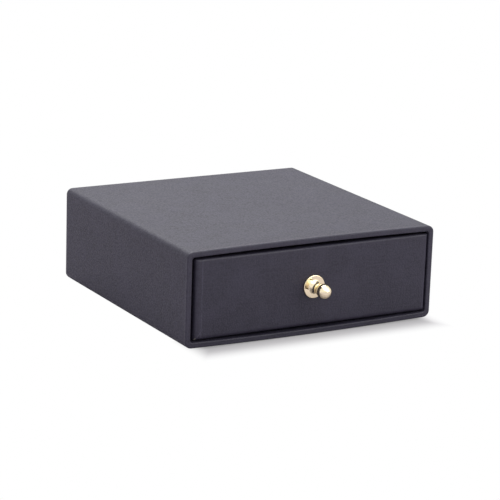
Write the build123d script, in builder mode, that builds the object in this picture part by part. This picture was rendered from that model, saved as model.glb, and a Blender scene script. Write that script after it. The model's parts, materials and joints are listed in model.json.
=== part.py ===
from build123d import *
import os

# Drawer box for cufflinks. A greyboard sleeve, closed at the back, is wrapped in leatherette, and a
# wrapped tray slides out of its mouth by a ball stud. The back board holds the sleeve flat, and its
# free mouth springs out a little above and below. Millimetres, +Z up. The mouth faces -Y, and the
# origin is on the table under the middle of the sleeve.

os.makedirs("parts", exist_ok=True)

# Sheets and boards, by thickness
greyboard = 1.5
leatherette = 0.25
lining_paper = 0.2
pasted_sheet = 0.3
gummed_tape = 0.12
velvet = 0.5
stiff_card = 1.0

folded_edge_radius = 0.4

# Sleeve, over its cover
case_width = 100.0
case_depth = 100.0
case_height = 35.5
mouth_bow_over = 0.45
mouth_bow_under = 0.6
held_bow = 0.02
long_edge_radius = 2.4
back_edge_radius = 1.7
inside_corner_radius = 1.0
mouth_turn_in = 14.0
back_turn_in = 10.0
sheet_margin = 3.6
sheet_corner_radius = 2.0
sheet_flattening = 0.05
board_seam_gap = 0.3
seam_tape_width = 18.0

# Drawer in the mouth
drawer_recess = 0.5
side_play = 1.8
sideways_shift = 0.6
top_play = 1.4
running_gap = 0.3
back_play = 1.0
face_edge_radius = 1.2
rim_turn_in = 8.0
stay_leg = 12.0

# Ball stud and its screw
stud_base_radius = 4.2
stud_base_rim = 0.7
stud_base_rise = 0.45
stud_rim_round = 0.25
neck_radius = 1.6
neck_flare = 1.1
collar_radius = 2.35
collar_width = 0.5
ball_radius = 2.7
ball_standoff = 7.1
screw_radius = 1.0
screw_clearance = 0.05
screw_reach = 3.6
screw_head_radius = 4.0
screw_head_rim = 0.6
screw_head_dome = 0.4
slot_width = 0.9
slot_depth = 0.45

# Cufflink pad
pad_side_gap = 0.4
pad_height = 15.0
pad_crown = 1.4
pad_draw_in = 0.7
pad_corner_radius = 3.0
pad_top_round = 2.5
pad_turn_under = 12.0
slit_length = 22.0
slit_width = 1.2
slit_depth = 10.0
slit_spacing_across = 42.0
slit_spacing_along = 34.0

# Levels and faces that several pieces share
case_front = -case_depth / 2
case_back = case_depth / 2
wrap_bottom = pasted_sheet
wrap_back = case_back - pasted_sheet
wrap_depth = wrap_back - case_front
wrap_height = case_height - wrap_bottom
wrap_middle = wrap_bottom + wrap_height / 2
board_front = case_front + leatherette
board_back = wrap_back - leatherette
board_depth = board_back - board_front
back_wall_front = board_back - greyboard
board_inside = leatherette + greyboard
mouth_inset = board_inside + leatherette
lined_inset = board_inside + lining_paper
fold_end = case_front + mouth_turn_in

drawer_front = case_front + drawer_recess
drawer_back = back_wall_front - lining_paper - back_play
drawer_width = case_width - 2 * mouth_inset - side_play
drawer_bottom = wrap_bottom + mouth_bow_under + mouth_inset + running_gap
drawer_top = case_height - mouth_inset - top_play
drawer_height = drawer_top - drawer_bottom
knob_height = drawer_bottom + drawer_height / 2
tray_board_front = drawer_front + leatherette + greyboard
tray_inside_front = tray_board_front + greyboard
tray_inside_back = drawer_back - board_inside
tray_inside_width = drawer_width - 2 * board_inside
tray_floor = drawer_bottom + board_inside
lined_floor = tray_floor + lining_paper
rim_fold_end = drawer_top - rim_turn_in


def sleeve_outline(y, inset, bow_over, bow_under):
    """Cross-section of the sleeve at y, drawn in by inset from the cover's outer face."""
    side = case_width / 2 - inset
    top = case_height - inset
    bottom = wrap_bottom + inset
    with BuildSketch(Plane.XZ.offset(-y), mode=Mode.PRIVATE) as outline:
        with BuildLine():
            ThreePointArc((-side, top - bow_over), (0, top), (side, top - bow_over))
            Line((side, top - bow_over), (side, bottom + bow_under))
            ThreePointArc((side, bottom + bow_under), (0, bottom), (-side, bottom + bow_under))
            Line((-side, bottom + bow_under), (-side, top - bow_over))
        make_face()
        fillet(outline.vertices(), max(long_edge_radius - inset, inside_corner_radius))
    return outline.sketch


def sleeve_form(inset):
    """The sleeve as one block from its flat back to its bowed mouth, drawn in by inset."""
    back_outline = sleeve_outline(wrap_back, inset, held_bow, held_bow)
    mouth_outline = sleeve_outline(case_front, inset, mouth_bow_over, mouth_bow_under)
    return loft([back_outline, mouth_outline], ruled=True)


def between(front, back):
    """Slab across the sleeve from y = front to y = back."""
    with BuildSketch(Plane.XZ.offset(-back), mode=Mode.PRIVATE) as slab_outline:
        with Locations((0, wrap_middle)):
            Rectangle(2 * case_width, 2 * case_height)
    return extrude(slab_outline.sketch, amount=back - front, mode=Mode.PRIVATE)


def tray_plan(z, inset, front):
    """Plan of the drawer at level z: its sides and back drawn in by inset, its front at y = front."""
    back = drawer_back - inset
    with BuildSketch(Plane.XY.offset(z), mode=Mode.PRIVATE) as plan:
        with Locations((sideways_shift, (front + back) / 2)):
            Rectangle(drawer_width - 2 * inset, back - front)
    return plan.sketch


def knob_hole(y, depth, radius):
    """Round hole on the stud's axis, from y forwards by depth."""
    with BuildSketch(Plane.XZ.offset(-y), mode=Mode.PRIVATE) as hole:
        with Locations((sideways_shift, knob_height)):
            Circle(radius)
    return extrude(hole.sketch, amount=depth, mode=Mode.PRIVATE)


def export(part, name):
    part.label = name
    export_step(part, f"parts/{name}.step")


# Sleeve: the nested forms on which its layers lie
sheet_form = sleeve_form(-pasted_sheet - sheet_flattening)
wrap_form = sleeve_form(0)
board_form = sleeve_form(leatherette)
taped_form = sleeve_form(leatherette + gummed_tape)
hollow_form = sleeve_form(board_inside)
lined_form = sleeve_form(lined_inset)
mouth_form = sleeve_form(mouth_inset)

# The tube with its back as one block, for the board cut from it and the cover wrapped round it
with BuildPart() as case_core:
    add(board_form)
    add(between(board_front, board_back), mode=Mode.INTERSECT)
    fillet(case_core.faces().sort_by(Axis.Y)[-1].edges(), back_edge_radius - leatherette)

with BuildPart() as case_seam_tape:
    add(board_form)
    add(taped_form, mode=Mode.SUBTRACT)
    with BuildSketch(Plane.XY) as tape_plan:
        with Locations((0, (board_front + back_wall_front) / 2)):
            Rectangle(seam_tape_width, back_wall_front - board_front)
    extrude(amount=wrap_middle, mode=Mode.INTERSECT)
export(case_seam_tape.part, "case_seam_tape")

# The board is bent round four sides and meets itself in a seam along the underside
with BuildPart() as case_board:
    add(case_core.part)
    add(hollow_form, mode=Mode.SUBTRACT)
    with BuildSketch(Plane.XY.offset(wrap_bottom)) as seam_plan:
        with Locations((0, (board_front + board_back) / 2)):
            Rectangle(board_seam_gap, board_depth)
    extrude(amount=mouth_inset, mode=Mode.SUBTRACT)
    add(case_seam_tape.part, mode=Mode.SUBTRACT)
export(case_board.part, "case_board")

with BuildPart() as case_back_board:
    add(hollow_form)
    add(between(back_wall_front, board_back), mode=Mode.INTERSECT)
export(case_back_board.part, "case_back_board")

# What the cover is wrapped round, which leaves out the fold of the cover inside the mouth
with BuildPart() as mouth_fold:
    add(hollow_form)
    add(mouth_form, mode=Mode.SUBTRACT)
    add(between(board_front, fold_end), mode=Mode.INTERSECT)

with BuildPart() as inside_cover:
    add(case_core.part)
    add(mouth_fold.part, mode=Mode.SUBTRACT)

with BuildPart() as mouth_pocket:
    add(mouth_form)
    add(between(case_front, fold_end), mode=Mode.INTERSECT)

with BuildPart() as case_cover:
    add(wrap_form)
    fillet(case_cover.faces().sort_by(Axis.Y)[-1].edges(), back_edge_radius)
    add(mouth_pocket.part, mode=Mode.SUBTRACT)
    fillet(case_cover.faces().sort_by(Axis.Y)[0].edges(), folded_edge_radius)
    add(inside_cover.part, mode=Mode.SUBTRACT)
    with BuildSketch(Plane.XZ.offset(-wrap_back)) as back_window:
        with Locations((0, wrap_middle)):
            Rectangle(case_width - 2 * back_turn_in, wrap_height - 2 * back_turn_in)
    extrude(amount=leatherette, mode=Mode.SUBTRACT)
export(case_cover.part, "case_cover")

# The back sheet lies on the cover's folds and is pressed down between them onto the board
with BuildPart() as case_back_sheet:
    with BuildSketch(Plane.XZ.offset(-case_back)) as back_sheet_outline:
        with Locations((0, wrap_middle)):
            RectangleRounded(
                case_width - 2 * sheet_margin, wrap_height - 2 * sheet_margin, sheet_corner_radius
            )
    extrude(amount=pasted_sheet)
    with BuildSketch(Plane.XZ.offset(-wrap_back)) as pressed_down:
        with Locations((0, wrap_middle)):
            Rectangle(case_width - 2 * back_turn_in, wrap_height - 2 * back_turn_in)
    extrude(amount=leatherette)
export(case_back_sheet.part, "case_back_sheet")

# The base sheet follows the bowed underside, and is pressed flat where it stands on the table
with BuildPart() as case_base_sheet:
    add(sheet_form)
    with BuildSketch(Plane.XY) as base_sheet_plan:
        with Locations((0, (case_front + wrap_back) / 2)):
            RectangleRounded(
                case_width - 2 * sheet_margin, wrap_depth - 2 * sheet_margin, sheet_corner_radius
            )
    extrude(amount=wrap_middle, mode=Mode.INTERSECT)
    add(wrap_form, mode=Mode.SUBTRACT)
export(case_base_sheet.part, "case_base_sheet")

with BuildPart() as case_lining:
    add(hollow_form)
    add(lined_form, mode=Mode.SUBTRACT)
    add(between(fold_end, back_wall_front), mode=Mode.INTERSECT)
export(case_lining.part, "case_lining")

with BuildPart() as case_back_lining:
    add(lined_form)
    add(between(back_wall_front - lining_paper, back_wall_front), mode=Mode.INTERSECT)
export(case_back_lining.part, "case_back_lining")

# Drawer: face board and tray as one block, for the pieces cut from it or wrapped round it
with BuildPart() as drawer_core:
    extrude(
        tray_plan(drawer_bottom + leatherette, leatherette, drawer_front + leatherette),
        amount=drawer_height - 2 * leatherette,
    )
    fillet(drawer_core.faces().sort_by(Axis.Y)[0].edges(), face_edge_radius - leatherette)

with BuildPart() as tray_inside:
    extrude(tray_plan(tray_floor, board_inside, tray_inside_front), amount=drawer_height)

with BuildPart() as drawer_corner_stays:
    stay_bottom = drawer_bottom + leatherette
    stay_front = tray_board_front
    stay_back = drawer_back - leatherette
    stay_width = drawer_width - 2 * leatherette
    with BuildSketch(Plane.XY.offset(stay_bottom)) as stay_band:
        with Locations((sideways_shift, (stay_front + stay_back) / 2)):
            Rectangle(stay_width, stay_back - stay_front)
            Rectangle(
                stay_width - 2 * gummed_tape,
                stay_back - stay_front - 2 * gummed_tape,
                mode=Mode.SUBTRACT,
            )
    extrude(amount=drawer_height - 2 * leatherette)
    with BuildSketch(Plane.XY.offset(stay_bottom)) as stay_corners:
        with Locations((sideways_shift, (stay_front + stay_back) / 2)):
            with GridLocations(stay_width, stay_back - stay_front, 2, 2):
                Rectangle(2 * stay_leg, 2 * stay_leg)
    extrude(amount=drawer_height, mode=Mode.INTERSECT)
export(drawer_corner_stays.part, "drawer_corner_stays")

with BuildPart() as drawer_tray_board:
    add(drawer_core.part)
    with BuildSketch(Plane.XZ.offset(-tray_board_front)) as front_of_tray:
        with Locations((sideways_shift, knob_height)):
            Rectangle(drawer_width, drawer_height)
    extrude(amount=greyboard + leatherette, mode=Mode.SUBTRACT)
    add(tray_inside.part, mode=Mode.SUBTRACT)
    add(drawer_corner_stays.part, mode=Mode.SUBTRACT)
    add(
        knob_hole(tray_inside_front, greyboard, screw_radius + screw_clearance), mode=Mode.SUBTRACT
    )
export(drawer_tray_board.part, "drawer_tray_board")

with BuildPart() as drawer_face_board:
    add(drawer_core.part)
    with BuildSketch(Plane.XZ.offset(-tray_board_front)) as face_slab:
        with Locations((sideways_shift, knob_height)):
            Rectangle(drawer_width, drawer_height)
    extrude(amount=greyboard + leatherette, mode=Mode.INTERSECT)
    add(
        knob_hole(tray_board_front, greyboard, screw_radius + screw_clearance), mode=Mode.SUBTRACT
    )
export(drawer_face_board.part, "drawer_face_board")

# What the drawer's cover is wrapped round, which leaves out its fold inside the rim
with BuildPart() as inside_drawer_cover:
    add(drawer_core.part)
    with BuildSketch(Plane.XY.offset(rim_fold_end)) as rim_fold:
        add(tray_plan(rim_fold_end, board_inside, tray_inside_front))
        add(
            tray_plan(rim_fold_end, mouth_inset, tray_inside_front + leatherette),
            mode=Mode.SUBTRACT,
        )
    extrude(amount=rim_turn_in - leatherette, mode=Mode.SUBTRACT)

with BuildPart() as drawer_cover:
    extrude(tray_plan(drawer_bottom, 0, drawer_front), amount=drawer_height)
    fillet(drawer_cover.faces().sort_by(Axis.Y)[0].edges(), face_edge_radius)
    fillet(drawer_cover.edges().filter_by(Axis.Z).group_by(Axis.Y)[-1], folded_edge_radius)
    fillet(drawer_cover.edges().filter_by(Axis.Y).group_by(Axis.Z)[0], folded_edge_radius)
    extrude(
        tray_plan(rim_fold_end, mouth_inset, tray_inside_front + leatherette),
        amount=rim_turn_in,
        mode=Mode.SUBTRACT,
    )
    add(inside_drawer_cover.part, mode=Mode.SUBTRACT)
    add(
        knob_hole(drawer_front + leatherette, leatherette, screw_radius + screw_clearance),
        mode=Mode.SUBTRACT,
    )
export(drawer_cover.part, "drawer_cover")

with BuildPart() as drawer_floor_lining:
    extrude(tray_plan(tray_floor, board_inside, tray_inside_front), amount=lining_paper)
export(drawer_floor_lining.part, "drawer_floor_lining")

with BuildPart() as drawer_wall_lining:
    with BuildSketch(Plane.XY.offset(lined_floor)) as wall_lining_plan:
        add(tray_plan(lined_floor, board_inside, tray_inside_front))
        add(
            tray_plan(lined_floor, lined_inset, tray_inside_front + lining_paper),
            mode=Mode.SUBTRACT,
        )
    extrude(amount=rim_fold_end - lined_floor)
    add(
        knob_hole(
            tray_inside_front + lining_paper, lining_paper, screw_radius + screw_clearance
        ),
        mode=Mode.SUBTRACT,
    )
export(drawer_wall_lining.part, "drawer_wall_lining")

# Ball stud: a flared base disc, a neck, a collar and a ball, turned from one bar. Its profile and the
# screw's lie in a plane whose x runs outwards from the drawer's face
stud_plane = Plane(
    origin=(sideways_shift, drawer_front, knob_height), x_dir=(0, -1, 0), z_dir=(-1, 0, 0)
)
stud_axis = Axis((sideways_shift, drawer_front, knob_height), (0, -1, 0))
flare_start = stud_base_rim + stud_base_rise
flare_end = flare_start + neck_flare
collar_back = ball_standoff - (ball_radius**2 - neck_radius**2) ** 0.5
collar_front = collar_back + collar_width
ball_start_radius = (ball_radius**2 - (ball_standoff - collar_front) ** 2) ** 0.5

with BuildPart() as knob:
    with BuildSketch(stud_plane) as stud_profile:
        with BuildLine() as stud_edge:
            Polyline(
                (0, 0),
                (0, stud_base_radius),
                (stud_base_rim - stud_rim_round, stud_base_radius),
                (stud_base_rim, stud_base_radius - stud_rim_round),
                (flare_start, neck_radius + neck_flare),
            )
            JernArc(
                start=(flare_end, neck_radius), tangent=(-1, 0), radius=neck_flare, arc_size=-90
            )
            Polyline(
                (flare_end, neck_radius),
                (collar_back, neck_radius),
                (collar_back, collar_radius),
                (collar_front, collar_radius),
                (collar_front, ball_start_radius),
            )
            ThreePointArc(
                (collar_front, ball_start_radius),
                (ball_standoff, ball_radius),
                (ball_standoff + ball_radius, 0),
            )
            Line((ball_standoff + ball_radius, 0), (0, 0))
        make_face()
    revolve(axis=stud_axis)
    add(
        knob_hole(
            drawer_front, screw_reach + screw_clearance, screw_radius + screw_clearance
        ),
        mode=Mode.SUBTRACT,
    )
export(knob.part, "knob")

# Slotted screw with a broad low head, from inside the drawer's front into the stud
head_seat = drawer_front - tray_inside_front - lining_paper
head_edge = head_seat - screw_head_rim
head_top = head_edge - screw_head_dome
dome_radius = (screw_head_radius**2 + screw_head_dome**2) / (2 * screw_head_dome)

with BuildPart() as knob_screw:
    with BuildSketch(stud_plane) as screw_profile:
        with BuildLine() as screw_edge:
            RadiusArc((head_top, 0), (head_edge, screw_head_radius), dome_radius)
            Polyline(
                (head_edge, screw_head_radius),
                (head_seat, screw_head_radius),
                (head_seat, screw_radius),
                (screw_reach - screw_radius / 2, screw_radius),
                (screw_reach, screw_radius / 2),
                (screw_reach, 0),
                (head_top, 0),
            )
        make_face()
    revolve(axis=stud_axis)
    with BuildSketch(Plane.XZ.offset(head_top - drawer_front)) as slot_outline:
        with Locations((sideways_shift, knob_height)):
            Rectangle(2 * screw_head_radius, slot_width)
    extrude(amount=slot_depth, mode=Mode.SUBTRACT)
export(knob_screw.part, "knob_screw")

# Cufflink pad: velvet over slit foam on a stiff card, crowned, with its sides drawn in
pad_width = tray_inside_width - 2 * lining_paper - 2 * pad_side_gap
pad_front = drawer_front - head_top + pad_side_gap
pad_back = tray_inside_back - lining_paper - pad_side_gap
pad_depth = pad_back - pad_front
pad_middle = (sideways_shift, (pad_front + pad_back) / 2)
pad_top = lined_floor + pad_height
crown_radius = ((pad_width / 2) ** 2 + pad_crown**2) / (2 * pad_crown)


def pad_form(inset):
    """The pad's body, drawn in by inset from the velvet's outer face."""
    half_width = pad_width / 2 - inset
    half_depth = pad_depth / 2 - inset
    corners = [
        (-half_width, -half_depth),
        (half_width, -half_depth),
        (half_width, half_depth),
        (-half_width, half_depth),
    ]
    middles = [
        (0, -half_depth + pad_draw_in),
        (half_width - pad_draw_in, 0),
        (0, half_depth - pad_draw_in),
        (-half_width + pad_draw_in, 0),
    ]
    with BuildPart() as form:
        with BuildSketch(Plane((*pad_middle, lined_floor + inset))) as form_plan:
            with BuildLine():
                for side, middle in enumerate(middles):
                    ThreePointArc(corners[side], middle, corners[(side + 1) % len(corners)])
            make_face()
            fillet(form_plan.vertices(), pad_corner_radius - inset)
        extrude(amount=pad_height - inset)
        with Locations((*pad_middle, pad_top - crown_radius)):
            Sphere(crown_radius - inset, rotation=(90, 0, 0), mode=Mode.INTERSECT)
        fillet(form.faces().sort_by(Axis.Z)[-1].edges(), pad_top_round - inset)
    return form.part


velvet_form = pad_form(0)
foam_form = pad_form(velvet)
card_top = lined_floor + velvet + stiff_card

with BuildPart() as slits:
    with BuildSketch(Plane.XY.offset(pad_top - slit_depth)) as slit_plan:
        with Locations(pad_middle):
            with GridLocations(slit_spacing_across, slit_spacing_along, 2, 2):
                SlotOverall(slit_length, slit_width)
    extrude(amount=slit_depth)

with BuildPart() as insert_card:
    add(foam_form)
    split(bisect_by=Plane.XY.offset(card_top), keep=Keep.BOTTOM)
export(insert_card.part, "insert_card")

with BuildPart() as insert_foam:
    add(foam_form)
    split(bisect_by=Plane.XY.offset(card_top), keep=Keep.TOP)
    add(slits.part, mode=Mode.SUBTRACT)
export(insert_foam.part, "insert_foam")

with BuildPart() as insert_cover:
    add(velvet_form)
    add(foam_form, mode=Mode.SUBTRACT)
    with BuildSketch(Plane.XY.offset(lined_floor)) as card_window:
        with Locations(pad_middle):
            Rectangle(pad_width - 2 * pad_turn_under, pad_depth - 2 * pad_turn_under)
    extrude(amount=velvet, mode=Mode.SUBTRACT)
    add(slits.part, mode=Mode.SUBTRACT)
export(insert_cover.part, "insert_cover")
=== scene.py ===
import json
import math

import bmesh
import bpy
from mathutils import Matrix, Vector, noise


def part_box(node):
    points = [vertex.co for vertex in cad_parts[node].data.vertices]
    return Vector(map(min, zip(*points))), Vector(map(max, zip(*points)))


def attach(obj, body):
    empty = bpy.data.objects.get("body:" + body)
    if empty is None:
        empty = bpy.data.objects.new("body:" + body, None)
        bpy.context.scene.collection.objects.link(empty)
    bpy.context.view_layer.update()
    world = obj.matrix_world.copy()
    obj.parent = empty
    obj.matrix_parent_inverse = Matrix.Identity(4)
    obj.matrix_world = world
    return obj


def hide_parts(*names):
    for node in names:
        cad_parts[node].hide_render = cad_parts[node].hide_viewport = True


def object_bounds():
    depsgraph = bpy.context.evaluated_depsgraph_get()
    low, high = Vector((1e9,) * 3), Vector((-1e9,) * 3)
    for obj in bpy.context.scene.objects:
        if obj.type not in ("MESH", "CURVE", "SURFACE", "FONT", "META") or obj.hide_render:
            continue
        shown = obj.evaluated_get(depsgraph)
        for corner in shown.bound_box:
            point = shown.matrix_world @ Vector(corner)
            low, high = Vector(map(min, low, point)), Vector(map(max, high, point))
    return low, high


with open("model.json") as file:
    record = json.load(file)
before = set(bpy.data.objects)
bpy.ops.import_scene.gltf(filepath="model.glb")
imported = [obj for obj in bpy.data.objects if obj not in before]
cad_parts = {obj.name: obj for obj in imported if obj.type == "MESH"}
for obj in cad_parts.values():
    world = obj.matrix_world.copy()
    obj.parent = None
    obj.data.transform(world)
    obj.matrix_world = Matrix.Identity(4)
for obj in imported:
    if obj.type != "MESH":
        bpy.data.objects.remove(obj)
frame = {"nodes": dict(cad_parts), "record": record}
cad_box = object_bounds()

bl_info = {
    "name": "Cufflink Box with Drawer",
    "version": (1, 0, 0),
    "blender": (4, 5, 0),
    "location": "3D View > Sidebar > Cufflink Box",
    "description": "Dresses a wrapped drawer box for cufflinks: covers, ball stud, velvet pad and studio",
    "category": "Object",
}

# Metres and degrees, in the frame of the construction model: +Z up, front -Y.
MM = 0.001
CASE_LOW, CASE_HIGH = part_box("case_cover")
DRAWER_LOW, DRAWER_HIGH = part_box("drawer_cover")
PAD_LOW, PAD_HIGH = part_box("insert_cover")
KNOB_LOW, KNOB_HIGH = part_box("knob")
TABLE = cad_box[0][2]


# What a user would change


def length(name, description, default):
    """A length to set, its default in millimetres."""
    return bpy.props.FloatProperty(
        name=name, description=description, default=default * MM, min=0, subtype="DISTANCE", unit="LENGTH"
    )


def number(name, description, default):
    return bpy.props.FloatProperty(name=name, description=description, default=default)


def colour(name, description, default):
    return bpy.props.FloatVectorProperty(
        name=name, description=description, default=default, size=3, min=0, max=1, subtype="COLOR"
    )


class StudSizes(bpy.types.PropertyGroup):
    """Sizes of the ball stud that pulls the drawer."""

    base_radius: length("Base radius", "Radius of the disc against the drawer", 4.2)
    base_rim: length("Base rim", "Height of the disc's edge", 0.7)
    base_rise: length("Base rise", "How far the disc's face climbs to its neck", 0.10)
    rim_round: length("Rim rounding", "Radius of the disc's outer edge", 0.25)
    neck_radius: length("Neck radius", "Radius of the neck at its waist", 1.3)
    neck_foot: length("Neck foot", "Radius of the neck where it meets the disc", 2.5)
    neck_head: length("Neck head", "Radius of the neck where it meets the collar", 2.0)
    collar_radius: length("Collar radius", "Radius of the ring behind the ball", 2.35)
    collar_width: length("Collar width", "Width of the ring behind the ball", 0.5)
    ball_radius: length("Ball radius", "Radius of the ball", 2.7)
    ball_standoff: length("Ball standoff", "From the drawer's face to the ball's centre", 7.1)


class SleeveSizes(bpy.types.PropertyGroup):
    """Sizes of the leatherette wrapped round the sleeve."""

    sheet: length("Leatherette", "Thickness of the leatherette", 0.25)
    wall: length("Wall", "Thickness of the board that it is wrapped round", 1.5)
    bow_over: length("Bow over the mouth", "How far the top springs up at the mouth's middle", 0.45)
    bow_under: length("Bow under the mouth", "How far the underside springs down there", 0.60)
    held_bow: length("Bow at the back", "What is left of both where the back board holds them", 0.02)
    long_edge: length("Long edges", "Radius of the four edges from front to back", 2.4)
    inside_corner: length("Inside corners", "Radius of the mouth's corners", 1.0)
    back_edge: length("Back edges", "Radius of the edges round the back", 1.7)
    lip: length("Lips", "Radius of the fold round the mouth", 0.4)
    mouth_turn_in: length("Mouth turn-in", "How deep the leatherette is folded into the mouth", 14.0)
    back_turn_in: length("Back turn-in", "How far it is folded onto the back", 10.0)


class DrawerSizes(bpy.types.PropertyGroup):
    """Sizes of the leatherette wrapped round the drawer."""

    left_edge: length("Left edge", "Radius of the face's left edge", 1.7)
    right_edge: length("Right edge", "Radius of the face's right edge", 0.6)
    top_edge: length("Top edge", "Radius of the face's top edge", 0.8)
    bottom_edge: length("Bottom edge", "Radius of the face's bottom edge", 1.6)
    fold: length("Folds", "Radius of the folds along the rim and the other edges", 0.3)
    front_wall: length("Front wall", "Thickness of the front over its two boards and covers", 3.5)
    rim_turn_in: length("Rim turn-in", "How far the leatherette is folded down inside", 8.0)
    screw_hole: length("Screw hole", "Radius of the hole for the stud's screw", 1.05)


class PadSizes(bpy.types.PropertyGroup):
    """Sizes of the velvet pad in the drawer."""

    corner: length("Corner radius", "Rounding of the pad's corners seen from above", 3.0)
    draw_in: length("Draw-in", "How far each side pulls in between its corners", 0.7)
    slit_length: length("Slit length", "Length of each slit", 22.0)
    slit_width: length("Slit width", "Width of each slit", 1.2)
    slit_across: length("Slit spacing across", "Between slits, left to right", 42.0)
    slit_along: length("Slit spacing along", "Between slits, front to back", 34.0)
    tuck: length("Tuck", "How deep the velvet is drawn into a slit", 3.2)
    voxel: length("Voxel", "Edge of the grid on which the pad is puffed", 1.8)
    swell: length("Swell limit", "The most that the puffed velvet may rise", 1.0)
    lip: length("Lip", "Radius of the velvet rolled round a slit", 0.45)


class Finishes(bpy.types.PropertyGroup):
    """Colours of the box's materials."""

    leatherette: colour("Leatherette", "Charcoal covering paper", (0.030, 0.0275, 0.0455))
    leatherette_pit: colour("Leatherette grain", "The grain's hollows", (0.017, 0.0155, 0.027))
    paper: colour("Lining paper", "Black paper of the linings", (0.020, 0.020, 0.021))
    greyboard: colour("Greyboard", "Pulp board of the walls", (0.33, 0.31, 0.27))
    tape: colour("Gummed tape", "Brown paper tape on the corners and the seam", (0.42, 0.28, 0.15))
    gold: colour("Gold", "Polished pale gold plating", (0.95, 0.83, 0.58))
    velvet: colour("Velvet", "Black pile of the pad", (0.016, 0.016, 0.018))
    # The floor's matt colour lights the box from below and sets the grey and tint of the floor's painted
    # shadow strip.
    floor: colour("Floor", "Plain pale floor", (0.62, 0.588, 0.645))


class Studio(bpy.types.PropertyGroup):
    """Camera and lights. The camera is fitted to the box's outline in a square picture."""

    azimuth: number("Azimuth", "Camera's turn about the box, from the front", -29.67)
    elevation: number("Elevation", "Camera's angle above the table", 15.04)
    roll: number("Roll", "Camera's roll about its own view", 1.96)
    distance: length("Distance", "From the case's centre to the camera", 790.8)
    aside: number("Aside", "Camera's step along its own right, in metres", 2.287 * MM)
    above: number("Above", "Camera's step along its own up, in metres", 0.558 * MM)
    lens: number("Lens", "Focal length on a 36 mm sensor, in millimetres", 153.71)
    sky: number("Sky", "Strength of the even light from all round", 0.45)
    softbox: number("Softbox", "Power of the large lamp above and behind, in watts", 13.5)
    fill: number("Fill", "Power of the large lamp in front and to the right, in watts", 5.5)
    # Floor glow, shade right and shade reach shape the floor's painted shadow strip in front of the box.
    floor_glow: number("Floor glow", "Share of plain white in the floor beside the box", 0.30)
    shade_right: length("Shade right", "How far past the box's right side the floor's shade goes", 4.0)
    shade_reach: length("Shade reach", "How far in front of the box the floor's shade goes", 13.0)
    highlight: number("Highlight", "Strength of the bright panel that the polished metal shows", 1.9)


class BoxSettings(bpy.types.PropertyGroup):
    """All settings of the cufflink box."""

    sleeve: bpy.props.PointerProperty(type=SleeveSizes, name="Sleeve")
    drawer: bpy.props.PointerProperty(type=DrawerSizes, name="Drawer")
    stud: bpy.props.PointerProperty(type=StudSizes, name="Ball stud")
    pad: bpy.props.PointerProperty(type=PadSizes, name="Pad")
    finish: bpy.props.PointerProperty(type=Finishes, name="Finishes")
    studio: bpy.props.PointerProperty(type=Studio, name="Studio")


def settings():
    return bpy.context.scene.cufflink_box


# Shader maths


class Value:
    """A node's output, on which arithmetic adds Math nodes."""

    def __init__(self, paint, output):
        self.paint = paint
        self.output = output

    def __add__(self, other):
        return self.paint.maths("ADD", self, other)

    def __radd__(self, other):
        return self.paint.maths("ADD", other, self)

    def __sub__(self, other):
        return self.paint.maths("SUBTRACT", self, other)

    def __rsub__(self, other):
        return self.paint.maths("SUBTRACT", other, self)

    def __mul__(self, other):
        return self.paint.maths("MULTIPLY", self, other)

    def __rmul__(self, other):
        return self.paint.maths("MULTIPLY", other, self)


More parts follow.
